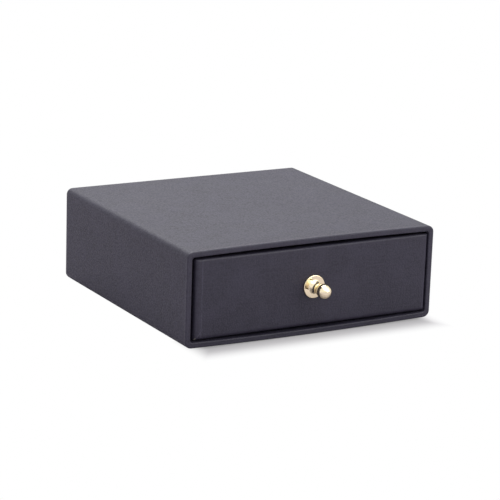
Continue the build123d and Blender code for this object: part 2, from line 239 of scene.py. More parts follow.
class Paint:
    """A material, or another owner of shader nodes, being made. One method adds any node and joins it."""

    def __init__(self, name, owners=None):
        self.material = (bpy.data.materials if owners is None else owners).new(name)
        self.material.use_nodes = True
        self.tree = self.material.node_tree
        self.tree.nodes.clear()

    def node(self, kind, options=None, sockets=None, output=0):
        made = self.tree.nodes.new(kind)
        for name, value in (options or {}).items():
            setattr(made, name, value)
        for name, value in (sockets or {}).items():
            self.join(value, made.inputs[name])
        return Value(self, made.outputs[output]) if made.outputs else None

    def join(self, value, socket):
        if isinstance(value, Value):
            self.tree.links.new(value.output, socket)
        elif isinstance(value, (tuple, list)) and len(value) == 3 and len(socket.default_value) == 4:
            socket.default_value = (*value, 1.0)
        else:
            socket.default_value = value

    def place(self):
        """Where the point lies in the box's own frame."""
        return self.node("ShaderNodeTexCoord", output="Object")

    def axis(self, place, name):
        """The place's X, Y or Z."""
        return self.node("ShaderNodeSeparateXYZ", {}, {0: place}, name)

    def noise(self, place, size, detail=2.0, roughness=0.5, distortion=0.0):
        """Soft noise whose features are about size across."""
        sockets = {"Vector": place, "Scale": 1 / size, "Detail": detail, "Roughness": roughness}
        return self.node("ShaderNodeTexNoise", {}, {**sockets, "Distortion": distortion})

    def cells(self, place, size, smoothness=0.5):
        """Rounded cells about size across, 0 at their middles."""
        return self.node(
            "ShaderNodeTexVoronoi",
            {"feature": "SMOOTH_F1"},
            {"Vector": place, "Scale": 1 / size, "Smoothness": smoothness},
            "Distance",
        )

    def stretch(self, place, scale):
        """The place with each axis scaled, for a pattern that is longer one way."""
        return self.node("ShaderNodeMapping", {"vector_type": "POINT"}, {"Vector": place, "Scale": scale})

    def fade(self, value, low, high, to_low=0.0, to_high=1.0):
        """The value mapped smoothly from low..high to to_low..to_high."""
        return self.node(
            "ShaderNodeMapRange",
            {"interpolation_type": "SMOOTHSTEP"},
            {"Value": value, "From Min": low, "From Max": high, "To Min": to_low, "To Max": to_high},
        )

    def maths(self, operation, *values):
        """A Math node on one or two values."""
        return self.node("ShaderNodeMath", {"operation": operation}, dict(enumerate(values)))

    def either(self, first, second):
        """The larger of two values."""
        return self.maths("MAXIMUM", first, second)

    def mix(self, factor, first, second):
        """A colour between first and second."""
        return self.node("ShaderNodeMix", {"data_type": "RGBA"}, {0: factor, 6: first, 7: second}, 2)

    def bump(self, height, depth, strength=1.0, under=None):
        """A normal from a height between 0 and 1 that stands for depth in metres."""
        sockets = {"Height": height, "Distance": depth, "Strength": strength}
        if under is not None:
            sockets["Normal"] = under
        return self.node("ShaderNodeBump", {}, sockets)

    def finish(self, **sockets):
        """Joins a Principled shader with those sockets, named with _ for spaces, to the output."""
        named = {name.replace("_", " "): value for name, value in sockets.items()}
        shader = self.node("ShaderNodeBsdfPrincipled", {}, named)
        self.node("ShaderNodeOutputMaterial", {}, {"Surface": shader})
        return self.material


# Finishes

# Across one pebble and across one thread of the leatherette
GRAIN = 0.60 * MM
THREAD = 0.55 * MM


def tinted(colour, factor, lift=0.0):
    """The colour's channels times factor, plus lift."""
    return tuple(lift + channel * factor for channel in colour)


def leatherette(name="leatherette", folds=None):
    """Charcoal leatherette paper: a fine pebbled grain over faint threads, rubbed paler along its folds.
    folds gives the paint the height of ridges from the place; those ridges are also painted paler, a
    painted highlight."""
    colours = settings().finish
    paint = Paint(name)
    place = paint.place()
    pebbles = paint.cells(place, GRAIN, 0.6)
    creases = paint.noise(place, GRAIN * 0.55, 3.0, 0.6)
    grain = paint.fade(pebbles * 0.75 + creases * 0.5, 0.35, 0.85)
    upright = paint.noise(paint.stretch(place, (1, 1, 0.10)), THREAD, 2.0, 0.5)
    level = paint.noise(paint.stretch(place, (0.10, 0.10, 1)), THREAD, 2.0, 0.5)
    threads = paint.fade(upright + level, 0.80, 1.20)
    mottle = paint.noise(place, 9 * MM, 3.0, 0.55)
    cloudy = paint.noise(place, 38 * MM, 2.0)
    rubbed = paint.node("ShaderNodeAttribute", {"attribute_name": "rubbed"}, {}, "Fac")
    patchy = paint.fade(paint.noise(place, 2.4 * MM, 4.0, 0.65), 0.30, 0.62)
    worn = rubbed * (0.35 + 0.65 * patchy)
    leather = tuple(colours.leatherette)
    pits = paint.mix(grain * 0.75, leather, tuple(colours.leatherette_pit))
    threaded = paint.mix(threads * 0.30, pits, tinted(leather, 1.5))
    clouded = paint.mix(paint.fade(mottle, 0.40, 0.72) * 0.4, threaded, tinted(leather, 1.35))
    base = paint.mix(worn * 0.35, clouded, tinted(leather, 1.6, 0.010))
    gloss = 0.44 + 0.12 * grain + 0.06 * cloudy - 0.10 * worn
    waves = paint.bump(cloudy, 0.25 * MM, 0.35)
    weave = paint.bump(threads, 0.012 * MM, 0.6, waves)
    if folds:
        # The ridges are bumped, and their colour is lifted paler towards twice the leatherette's: a
        # painted highlight along them.
        ridges_and_highlights = folds(paint, place)
        weave = paint.bump(ridges_and_highlights, 0.10 * MM, 0.9, weave)
        base = paint.mix(ridges_and_highlights * 0.6, base, tinted(leather, 2.0, 0.016))
    normal = paint.bump(1 - grain, 0.030 * MM, 0.8, weave)
    return paint.finish(Base_Color=base, Roughness=gloss, Normal=normal, IOR=1.40)


def face_ridges_and_highlights(paint, place):
    """Ridges beside the face's left edge and along the mitre at the lower left corner, where the drawer's
    leatherette is doubled, and a line inside its right edge that is a painted highlight of the rounded
    edge. All are painted paler as highlights."""
    x = paint.axis(place, "X") - DRAWER_LOW[0]
    y = paint.axis(place, "Y")
    z = paint.axis(place, "Z") - DRAWER_LOW[2]
    wander = paint.noise(place, 6 * MM, 2.0) * 0.5 * MM
    face = paint.fade(y, DRAWER_LOW[1] + 0.3 * MM, DRAWER_LOW[1] + 0.1 * MM)

    def ridge(distance, wide):
        return paint.fade(paint.maths("ABSOLUTE", distance), 0.0, wide, 1.0, 0.0)

    left = ridge(x + wander - 2.9 * MM, 0.42 * MM) * paint.fade(paint.noise(place, 5 * MM), 0.35, 0.5)
    # A painted highlight line just inside the rounded right edge, bumped like a ridge.
    right = ridge(x - (DRAWER_HIGH[0] - DRAWER_LOW[0] - 0.8 * MM), 0.35 * MM)
    mitre = ridge(x - z * 0.75 - 0.3 * MM, 0.36 * MM) * paint.fade(z, 4.4 * MM, 3.4 * MM)
    return face * paint.either(paint.either(left * 0.7, right * 0.5), mitre)


def drawer_leatherette():
    """The leatherette with the drawer face's fold ridges and right-edge line, bumped and painted paler as
    painted highlights.
    """
    return leatherette("drawer_leatherette", face_ridges_and_highlights)


def black_paper():
    """Smooth black lining paper with a few felted fibres."""
    paint = Paint("black_paper")
    place = paint.place()
    fibres = paint.noise(paint.stretch(place, (1, 0.22, 1)), 0.35 * MM, 3.0, 0.6)
    shade = paint.noise(place, 8 * MM, 2.0)
    ink = tuple(settings().finish.paper)
    base = paint.mix(paint.fade(fibres, 0.45, 0.75) * 0.5 + shade * 0.2, ink, tinted(ink, 1.9))
    return paint.finish(
        Base_Color=base, Roughness=0.62 + 0.2 * fibres, Normal=paint.bump(fibres, 0.02 * MM, 0.6)
    )


def greyboard():
    """Grey pulp board with pale and dark flecks."""
    paint = Paint("greyboard")
    place = paint.place()
    pulp = paint.noise(place, 0.6 * MM, 4.0, 0.65)
    flecks = paint.cells(place, 1.1 * MM, 0.1)
    board = tuple(settings().finish.greyboard)
    base = paint.mix(paint.fade(pulp, 0.35, 0.7), tinted(board, 0.78), board)
    speckled = paint.mix(paint.fade(flecks, 0.0, 0.16, 0.6, 0.0), base, (0.10, 0.09, 0.08))
    return paint.finish(
        Base_Color=speckled, Roughness=0.86 + 0.1 * pulp, Normal=paint.bump(pulp, 0.06 * MM, 0.7)
    )


def gummed_tape():
    """Brown gummed paper with its laid lines."""
    paint = Paint("gummed_tape")
    place = paint.place()
    laid = paint.noise(paint.stretch(place, (0.15, 1, 1)), 0.5 * MM, 3.0, 0.5)
    tape = tuple(settings().finish.tape)
    base = paint.mix(paint.fade(laid, 0.35, 0.7), tinted(tape, 0.75), tape)
    return paint.finish(
        Base_Color=base, Roughness=0.6 + 0.15 * laid, Normal=paint.bump(laid, 0.02 * MM, 0.5)
    )


def polished_gold():
    """Pale gold plating, polished, with the faint rings that turning and buffing leave."""
    paint = Paint("polished_gold")
    place = paint.place()
    haze = paint.noise(place, 1.6 * MM, 2.0)
    buffing = paint.noise(paint.stretch(place, (1, 6, 1)), 0.9 * MM, 2.0)
    gold = tuple(settings().finish.gold)
    base = paint.mix(paint.fade(haze, 0.4, 0.8) * 0.25, gold, (0.90, 0.70, 0.40))
    return paint.finish(
        Base_Color=base,
        Metallic=1.0,
        Roughness=0.035 + 0.05 * paint.fade(haze, 0.35, 0.75),
        Normal=paint.bump(buffing, 0.004 * MM, 0.4),
    )


def foam():
    """Dark open-celled foam."""
    paint = Paint("foam")
    cells = paint.cells(paint.place(), 0.5 * MM, 0.2)
    base = paint.mix(paint.fade(cells, 0.1, 0.6), (0.05, 0.05, 0.055), (0.02, 0.02, 0.022))
    return paint.finish(Base_Color=base, Roughness=0.95, Normal=paint.bump(1 - cells, 0.2 * MM, 0.8))


def velvet():
    """Short black pile: a soft sheen, and patches where the pile leans another way."""
    paint = Paint("velvet")
    place = paint.place()
    pile = paint.noise(place, 0.22 * MM, 3.0, 0.7)
    brushed = paint.noise(place, 14 * MM, 3.0, 0.6, 0.8)
    dark = tuple(settings().finish.velvet)
    leaning = paint.fade(brushed, 0.40, 0.66)
    base = paint.mix(leaning * 0.6 + pile * 0.3, dark, tinted(dark, 2.4))
    rough = paint.bump(brushed, 0.3 * MM, 0.4)
    return paint.finish(
        Base_Color=base,
        Roughness=0.88 + 0.1 * pile,
        Normal=paint.bump(pile, 0.12 * MM, 0.9, rough),
        Sheen_Weight=0.6,
        Sheen_Roughness=0.35,
        Sheen_Tint=(0.75, 0.75, 0.85, 1.0),
    )


FINISHES = {
    maker.__name__: maker
    for maker in (
        leatherette, drawer_leatherette, black_paper, greyboard, gummed_tape, polished_gold, foam, velvet
    )
}


def finish(name):
    """The finish of that name, made once."""
    return bpy.data.materials.get(name) or FINISHES[name]()


# Mesh helpers


def as_mesh(shape, name):
    """The shape as a mesh. The shape itself is used up."""
    mesh = bpy.data.meshes.new(name)
    shape.to_mesh(mesh)
    shape.free()
    return mesh


def middle_of(low, high):
    return (Vector(low) + Vector(high)) / 2


def new_piece(name, mesh, slot):
    """A piece with its finish and smooth shading."""
    piece = bpy.data.objects.new(name, mesh)
    bpy.context.scene.collection.objects.link(piece)
    mesh.materials.clear()
    mesh.materials.append(finish(slot))
    mesh.shade_smooth()
    return piece


def apply_modifiers(piece):
    """Makes the modifiers' result the piece's own mesh."""
    shaped = piece.evaluated_get(bpy.context.evaluated_depsgraph_get())
    mesh = bpy.data.meshes.new_from_object(shaped)
    piece.modifiers.clear()
    piece.data = mesh
    mesh.shade_smooth()


def settle(piece, body, slot, *nodes):
    """Puts a finished piece on its body and in place of its nodes. The slot is not used."""
    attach(piece, body)
    if nodes:
        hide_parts(*nodes)


def arc(centre, radius, start, end, steps):
    """Points along an arc in the plane of a profile, angles in degrees, both ends included."""
    turns = [math.radians(start + (end - start) * step / steps) for step in range(steps + 1)]
    return [(centre[0] + radius * math.cos(a), centre[1] + radius * math.sin(a)) for a in turns]


def ease(steps):
    """Shares from 0 to 1, closer together at both ends."""
    return [(1 - math.cos(math.pi * step / steps)) / 2 for step in range(steps + 1)]


def run(start, end, steps):
    """Numbers from start to end, closer together at both ends."""
    return [start + (end - start) * share for share in ease(steps)]


def shell(name, rings, rubs, closed):
    """Skin through rings of equal counts, with how rubbed each point is. A skin that isn't closed on
    itself is closed by a face at each end."""
    shape = bmesh.new()
    rubbed = shape.verts.layers.float.new("rubbed")
    made = []
    for ring, rub in zip(rings, rubs):
        made.append([shape.verts.new(point) for point in ring])
        for vert, amount in zip(made[-1], rub):
            vert[rubbed] = amount
    pairs = list(zip(made, made[1:]))
    if closed:
        pairs.append((made[-1], made[0]))
    else:
        shape.faces.new(made[0])
        shape.faces.new(made[-1])
    for ring, following in pairs:
        for step in range(len(ring)):
            after = (step + 1) % len(ring)
            shape.faces.new((ring[step], ring[after], following[after], following[step]))
    bmesh.ops.recalc_face_normals(shape, faces=shape.faces)
    return as_mesh(shape, name)


def rub(distances, reach):
    """How rubbed a point is, from its distances to an outline's planes: most where two are near."""
    return math.exp(-((max(0.0, sorted(distances)[1]) / reach) ** 2))


def lathe(name, profile, centre, outwards, segments):
    """Turns a profile of (distance outwards, radius) about the axis through centre along outwards."""
    out = Vector(outwards).normalized()
    side = out.orthogonal().normalized()
    up = out.cross(side)
    shape = bmesh.new()
    rings = []
    for reach, radius in profile:
        middle = Vector(centre) + out * reach
        if radius < 1e-7:
            rings.append([shape.verts.new(middle)])
            continue
        ring = []
        for step in range(segments):
            turn = 2 * math.pi * step / segments
            ring.append(shape.verts.new(middle + radius * (side * math.cos(turn) + up * math.sin(turn))))
        rings.append(ring)
    for ring, following in zip(rings, rings[1:]):
        for step in range(segments):
            after = (step + 1) % segments
            corners = []
            for vert in (
                ring[step % len(ring)],
                ring[after % len(ring)],
                following[after % len(following)],
                following[step % len(following)],
            ):
                if vert not in corners:
                    corners.append(vert)
            if len(corners) > 2:
                shape.faces.new(corners)
    bmesh.ops.recalc_face_normals(shape, faces=shape.faces)
    return as_mesh(shape, name)


# Pieces


class CUFFLINK_OT_construction(bpy.types.Operator):
    """Give the covers, linings, boards, tapes and the screw their finishes"""

    bl_idname = "cufflink_box.construction"
    bl_label = "Boards, Papers and Screw"

    def execute(self, context):
        slots = {entry["node"]: entry["material_slot"] for entry in frame["record"]["subparts"]}
        for piece in frame["nodes"].values():
            piece.data.materials.clear()
        for plain in list(bpy.data.materials):
            bpy.data.materials.remove(plain)
        for node, piece in frame["nodes"].items():
            piece.data.materials.append(finish(slots[node]))
        return {"FINISHED"}


class CUFFLINK_OT_sleeve_cover(bpy.types.Operator):
    """Wrap the leatherette round the sleeve and fold it into the mouth and onto the back"""

    bl_idname = "cufflink_box.sleeve_cover"
    bl_label = "Sleeve Cover"

    # Steps along the top, up a side and round a corner, and how far from an edge the rubbing reaches
    across = 40
    upright = 18
    turn = 8
    rub_reach = 1.3 * MM

    def execute(self, context):
        size = settings().sleeve
        front, back = CASE_LOW[1], CASE_HIGH[1]
        sheet, lip = size.sheet, size.lip
        folded = size.wall + 2 * sheet
        deep = front + size.mouth_turn_in
        path = [(y, folded) for y in run(deep, front + lip, 12)]
        path += [(front + lip - x, folded - lip + y) for x, y in arc((0, 0), lip, 90, 0, 5)][1:]
        path += [(front, inset) for inset in run(folded - lip, lip, 4)[1:-1]]
        path += [(front + lip - x, lip - y) for x, y in arc((0, 0), lip, 0, 90, 5)]
        path += [(y, 0.0) for y in run(front + lip, back - size.back_edge, 44)[1:-1]]
        path += [
            (back - size.back_edge + x, size.back_edge - y)
            for x, y in arc((0, 0), size.back_edge, 90, 0, 9)
        ]
        path += [(back, inset) for inset in run(size.back_edge, size.back_turn_in, 8)[1:]]
        inner = size.back_edge - sheet
        path += [(back - sheet, inset) for inset in run(size.back_turn_in, size.back_edge, 6)[:-1]]
        path += [
            (back - size.back_edge + x, size.back_edge - y) for x, y in arc((0, 0), inner, 0, 90, 6)
        ]
        path += [(y, sheet) for y in run(back - size.back_edge, front + sheet, 20)[1:]]
        path += [(y, folded - sheet) for y in run(front + sheet, deep, 8)]
        rings, rubs = [], []
        for y, inset in path:
            ring = self.outline(y, inset)
            rings.append([Vector((x, y, z)) for x, z in ring])
            rubs.append([self.rubbed(x, y, z) for x, z in ring])
        cover = new_piece("sleeve_cover", shell("sleeve_cover", rings, rubs, True), "leatherette")
        settle(cover, "case", "leatherette", "case_cover")
        return {"FINISHED"}

    @staticmethod
    def bows(y):
        """How far the top and the underside bow at y."""
        size = settings().sleeve
        share = (CASE_HIGH[1] - y) / (CASE_HIGH[1] - CASE_LOW[1])
        return [size.held_bow + (bow - size.held_bow) * share for bow in (size.bow_over, size.bow_under)]

    def outline(self, y, inset):
        """Cross-section at y, drawn in by inset, as (x, z) round the sleeve."""
        size = settings().sleeve
        side = (CASE_HIGH[0] - CASE_LOW[0]) / 2 - inset
        radius = max(size.long_edge - inset, size.inside_corner)
        over, under = self.bows(y)
        top, bottom = CASE_HIGH[2] - inset, CASE_LOW[2] + inset
        above = self.corner(side, top, over, 1, radius)
        below = self.corner(side, bottom, under, -1, radius)
        points = list(above)
        points += [
            (x, top - over * (x / side) ** 2)
            for x in run(above[-1][0], -above[-1][0], self.across)[1:-1]
        ]
        points += [(-x, z) for x, z in reversed(above)]
        points += [(-side, z) for z in run(above[0][1], below[0][1], self.upright)[1:-1]]
        points += [(-x, z) for x, z in below]
        points += [
            (x, bottom + under * (x / side) ** 2)
            for x in run(-below[-1][0], below[-1][0], self.across)[1:-1]
        ]
        points += list(reversed(below))
        points += [(side, z) for z in run(below[0][1], above[0][1], self.upright)[1:-1]]
        return points

    def corner(self, side, level, bow, way, radius):
        """Arc of the right corner from the side to the top (way 1) or to the underside (way -1)."""
        slope = math.atan(2 * bow * (side - radius) / side**2)
        touch = side - radius + radius * math.sin(slope)
        middle = level - way * (bow * (touch / side) ** 2 + radius * math.cos(slope))
        turned = arc((side - radius, 0), radius, 0, 90 - math.degrees(slope), self.turn)
        return [(x, middle + way * rise) for x, rise in turned]

    def rubbed(self, x, y, z):
        over, under = self.bows(y)
        half = (CASE_HIGH[0] - CASE_LOW[0]) / 2
        to_top = CASE_HIGH[2] - over * (x / half) ** 2 - z
        to_bottom = z - CASE_LOW[2] - under * (x / half) ** 2
        ends = (y - CASE_LOW[1], CASE_HIGH[1] - y)
        return rub((half - abs(x), to_top, to_bottom, *ends), self.rub_reach)


class CUFFLINK_OT_drawer_cover(bpy.types.Operator):
    """Wrap the leatherette round the drawer and fold it over the rim"""

    bl_idname = "cufflink_box.drawer_cover"
    bl_label = "Drawer Cover"

    # Steps along a side and round a corner
    along = 30
    turn = 8
    # How far inside the edges the skin is capped underneath, and how near an edge it is rubbed
    cap_inset = 3 * MM
    rub_reach = 0.8 * MM
    # The least radii of the inner skin's folds and of the corners
    least_fold = 0.02 * MM
    least_corner = 0.08 * MM

    def execute(self, context):
        size, sleeve = settings().drawer, settings().sleeve
        sheet, fold = sleeve.sheet, size.fold
        wall = sleeve.wall + 2 * sheet
        top, bottom = DRAWER_HIGH[2], DRAWER_LOW[2]
        height = top - bottom
        # Each step holds (inset, level) at the front and (inset, level) at the other three sides
        path = [((self.cap_inset, 0.0), (self.cap_inset, 0.0))]
        path += self.rounded(size.bottom_edge, fold, 0.0, 0.0, True)
        side_levels = run(fold, height - fold, 16)[1:-1]
        front_levels = run(size.bottom_edge, height - size.top_edge, 16)[1:-1]
        path += [((0.0, near), (0.0, far)) for near, far in zip(front_levels, side_levels)]
        path += self.rounded(size.top_edge, fold, height, 0.0, False)
        path.append(((size.front_wall - fold, height), (wall - fold, height)))
        for reach, drop in arc((0, 0), fold, 90, 0, 4)[1:]:
            level = height - fold + drop
            path.append(((size.front_wall - fold + reach, level), (wall - fold + reach, level)))
        end = height - size.rim_turn_in
        path += [((size.front_wall, level), (wall, level)) for level in run(height - fold, end, 5)[1:]]
        inner_front, inner_wall = size.front_wall - sheet, wall - sheet
        path += [((inner_front, level), (inner_wall, level)) for level in (end, height - sheet)]
        path += list(reversed(self.rounded(size.top_edge, fold, height, sheet, False)))
        path += list(reversed(self.rounded(size.bottom_edge, fold, 0.0, sheet, True)))
        path.append(((self.cap_inset, sheet), (self.cap_inset, sheet)))
        rings, rubs = [], []
        for near, far in path:
            ring = self.plan(near, far)
            rings.append(ring)
            rubs.append([self.rubbed(point) for point in ring])
        mesh = shell("drawer_wrap", rings, rubs, False)
        cover = new_piece("drawer_wrap", mesh, "drawer_leatherette")
        self.pierce(cover, size.screw_hole)
        settle(cover, "drawer", "leatherette", "drawer_cover")
        return {"FINISHED"}

    def rounded(self, front_radius, side_radius, level, sheet, rising):
        """Steps round the lower (rising) or the upper edges, at the sheet's outer or inner side."""
        steps = []
        for step in range(7):
            turn = math.radians(15 * step)
            pair = []
            for radius in (front_radius, side_radius):
                small = max(radius - sheet, self.least_fold)
                tilt = turn if rising else math.pi / 2 - turn
                aside = radius - small * math.sin(tilt)
                lift = radius - small * math.cos(tilt)
                pair.append((aside, lift if rising else level - lift))
            steps.append(tuple(pair))
        return steps

    def plan(self, near, far):
        """Ring round the drawer, its front at near and its other sides at far."""
        size = settings().drawer
        left, right = DRAWER_LOW[0] + far[0], DRAWER_HIGH[0] - far[0]
        front, back = DRAWER_LOW[1] + near[0], DRAWER_HIGH[1] - far[0]
        least = self.least_corner
        corners = [
            ((left, front), (1, 1), size.left_edge, 180, 270),
            ((right, front), (-1, 1), size.right_edge, 270, 360),
            ((right, back), (-1, -1), size.fold, 0, 90),
            ((left, back), (1, -1), size.fold, 90, 180),
        ]
        arcs = []
        for (x, y), (way_x, way_y), radius, start, end in corners:
            deep = near[0] if way_y > 0 else far[0]
            wide_x, wide_y = max(radius - far[0], least), max(radius - deep, least)
            turned = arc((0, 0), 1, start, end, self.turn)
            arcs.append([(x + wide_x * (way_x + c), y + wide_y * (way_y + s)) for c, s in turned])
        ring = []
        for index, bend in enumerate(arcs):
            following = arcs[(index + 1) % 4][0]
            levels = self.levels(index, near[1], far[1])
            ring += [Vector((x, y, DRAWER_LOW[2] + level)) for (x, y), level in zip(bend, levels)]
            (x0, y0), (x1, y1) = bend[-1], following
            for share in ease(self.along)[1:-1]:
                ring.append(Vector((x0 + (x1 - x0) * share, y0 + (y1 - y0) * share, ring[-1].z)))
        return ring

    def levels(self, index, near, far):
        """Levels along a corner's arc, between those of the two sides that it joins."""
        if index > 1:
            return [far] * (self.turn + 1)
        shares = [step / self.turn for step in range(self.turn + 1)]
        if index == 1:
            shares.reverse()
        return [far + (near - far) * (3 * s * s - 2 * s * s * s) for s in shares]

    def rubbed(self, point):
        gaps = [here - low for here, low in zip(point, DRAWER_LOW)]
        gaps += [high - here for here, high in zip(point, DRAWER_HIGH)]
        return rub(gaps, self.rub_reach)

    @staticmethod
    def pierce(cover, radius):
        """Cuts the hole for the stud's screw through the front's outer skin."""
        shape = bmesh.new()
        round_ends = {"radius1": radius, "radius2": radius}
        bmesh.ops.create_cone(shape, cap_ends=True, segments=32, depth=2 * MM, **round_ends)
        forwards = Matrix.Rotation(math.pi / 2, 3, "X")
        bmesh.ops.rotate(shape, cent=(0, 0, 0), matrix=forwards, verts=shape.verts)
        middle = middle_of(KNOB_LOW, KNOB_HIGH)
        bmesh.ops.translate(shape, vec=(middle.x, DRAWER_LOW[1], middle.z), verts=shape.verts)
        punch = bpy.data.objects.new("punch", as_mesh(shape, "punch"))
        bpy.context.scene.collection.objects.link(punch)
        cut = cover.modifiers.new("screw_hole", "BOOLEAN")
        cut.operation = "DIFFERENCE"
        cut.solver = "EXACT"
        cut.object = punch
        apply_modifiers(cover)
        bpy.data.objects.remove(punch)


class CUFFLINK_OT_ball_stud(bpy.types.Operator):
    """Turn the gold ball stud on the drawer's front"""

    bl_idname = "cufflink_box.ball_stud"
    bl_label = "Ball Stud"

    segments = 96

    def execute(self, context):
        size = settings().stud
        foot = size.base_rim + size.base_rise
        collar_back = size.ball_standoff - math.sqrt(size.ball_radius**2 - size.neck_head**2)
        collar_front = collar_back + size.collar_width
        ball_turn = math.degrees(math.acos((collar_front - size.ball_standoff) / size.ball_radius))
        edge = size.collar_width * 0.3
        profile = [(0.0, 0.0), (0.0, size.base_radius)]
        profile += arc(
            (size.base_rim - size.rim_round, size.base_radius - size.rim_round), size.rim_round, 90, 0, 6
        )
        rim = size.base_radius - size.rim_round
        for share in (0.03, 0.2, 0.5, 0.8, 0.97):
            profile.append((size.base_rim + size.base_rise * share, rim + (size.neck_foot - rim) * share))
        for step in range(17):
            share = step / 8 - 1
            wide = size.neck_foot if share < 0 else size.neck_head
            reach = foot + (collar_back - foot) * (share + 1) / 2
            profile.append((reach, size.neck_radius + (wide - size.neck_radius) * share**2))
        profile.append((collar_back, size.collar_radius - edge))
        profile += arc((collar_back + edge, size.collar_radius - edge), edge, 180, 90, 4)[1:]
        profile += arc((collar_front - edge, size.collar_radius - edge), edge, 90, 0, 4)
        profile += arc((size.ball_standoff, 0.0), size.ball_radius, ball_turn, 0, 28)
        profile[-1] = (size.ball_standoff + size.ball_radius, 0.0)
        centre = (
            (KNOB_LOW[0] + KNOB_HIGH[0]) / 2,
            DRAWER_LOW[1],
            (KNOB_LOW[2] + KNOB_HIGH[2]) / 2,
        )
        stud = new_piece(
            "ball_stud", lathe("ball_stud", profile, centre, (0, -1, 0), self.segments), "polished_gold"
        )
        settle(stud, "drawer", "polished_gold", "knob")
        return {"FINISHED"}


def slit_places():
    """Middles of the pad's four slits."""
    size = settings().pad
    middle = middle_of(PAD_LOW, PAD_HIGH)
    return [
        Vector((middle.x + across * size.slit_across / 2, middle.y + along * size.slit_along / 2, 0))
        for along in (-1, 1)
        for across in (-1, 1)
    ]


PUFF_PRESSURE = 4.0
PUFF_FRAMES = 20


def puff(piece, limit):
    """Inflates a closed mesh as cloth, no point moving further than limit."""
    start = [vert.co.copy() for vert in piece.data.vertices]
    cloth = piece.modifiers.new("puff", "CLOTH")
    cloth.settings.use_pressure = True
    cloth.settings.uniform_pressure_force = PUFF_PRESSURE
    cloth.settings.effector_weights.gravity = 0.0
    scene = bpy.context.scene
    for step in range(1, PUFF_FRAMES + 1):
        scene.frame_set(step)
    shaped = piece.evaluated_get(bpy.context.evaluated_depsgraph_get())
    swollen = [vert.co.copy() for vert in shaped.data.vertices]
    piece.modifiers.remove(cloth)
    scene.frame_set(1)
    for vert, before, after in zip(piece.data.vertices, start, swollen):
        moved = after - before
        if moved.length > limit:
            moved.length = limit
        vert.co = before + moved


class CUFFLINK_OT_pad(bpy.types.Operator):
    """Puff the velvet pad, draw in its sides and tuck the velvet into its slits"""

    bl_idname = "cufflink_box.pad"
    bl_label = "Velvet Pad"

    # The crown's height, then the height and the width of the velvet's unevenness
    crown_rise = 1.2 * MM
    uneven_rise = 0.25 * MM
    uneven_width = 9 * MM
    # How wide the velvet dips at a slit, and how wide and what share of that depth it sags round it
    dip_width = 1.5 * MM
    sag_width = 5 * MM
    sag_share = 0.22

    def execute(self, context):
        size = settings().pad
        low, high = Vector(PAD_LOW), Vector(PAD_HIGH)
        middle = (low + high) / 2
        half = (high - low) / 2
        inner = half - Vector((size.swell, size.swell, size.swell))
        shape = bmesh.new()
        bmesh.ops.create_cube(shape, size=2)
        bmesh.ops.scale(shape, vec=inner, verts=shape.verts)
        bmesh.ops.translate(shape, vec=middle, verts=shape.verts)
        bmesh.ops.bevel(
            shape, geom=shape.edges[:], offset=size.corner * 0.8, segments=3, profile=0.5, affect="EDGES"
        )
        pad = new_piece("velvet_pad", as_mesh(shape, "velvet_pad"), "velvet")
        remesh = pad.modifiers.new("even", "REMESH")
        remesh.mode = "VOXEL"
        remesh.voxel_size = size.voxel
        apply_modifiers(pad)
        puff(pad, size.swell)
        smooth = pad.modifiers.new("fine", "SUBSURF")
        smooth.levels = smooth.render_levels = 1
        apply_modifiers(pad)
        self.shape_velvet(pad, middle, low, high)
        settle(pad, "drawer", "velvet", "insert_cover", "insert_foam")
        return {"FINISHED"}

    def shape_velvet(self, pad, middle, low, high):
        """Crowns the top, draws the sides in, flattens the base and tucks the slits."""
        size = settings().pad
        half = (high - low) / 2
        slits = slit_places()
        for vert in pad.data.vertices:
            place = vert.co
            across = (place.x - middle.x) / half.x
            along = (place.y - middle.y) / half.y
            crown = 1 - 0.5 * (across**2 + along**2)
            lift = max(0.0, (place.z - middle.z) / half.z)
            place.x -= size.draw_in * across * (1 - along**2)
            place.y -= size.draw_in * along * (1 - across**2)
            place.z += lift * self.crown_rise * (crown - 0.4)
            place.z += lift * self.uneven_rise * noise.noise(place / self.uneven_width)
            for slit in slits:
                reach = max(0.0, abs(place.x - slit.x) - size.slit_length / 2)
                gap = math.hypot(reach, place.y - slit.y)
                dip = math.exp(-((gap / self.dip_width) ** 2))
                dip += self.sag_share * math.exp(-((gap / self.sag_width) ** 2))
                place.z -= lift * size.tuck * dip * 0.8
            for axis in range(3):
                place[axis] = min(max(place[axis], low[axis]), high[axis])


def view_axes():
    """The picture's right, its up and the way back to the camera."""
    studio = settings().studio
    turn, tilt, roll = (math.radians(a) for a in (studio.azimuth, studio.elevation, studio.roll))
    back = Vector((math.sin(turn) * math.cos(tilt), -math.cos(turn) * math.cos(tilt), math.sin(tilt)))
    level = Vector((math.cos(turn), math.sin(turn), 0))
    upright = back.cross(level)
    right = level * math.cos(roll) + upright * math.sin(roll)
    return right, upright * math.cos(roll) - level * math.sin(roll), back


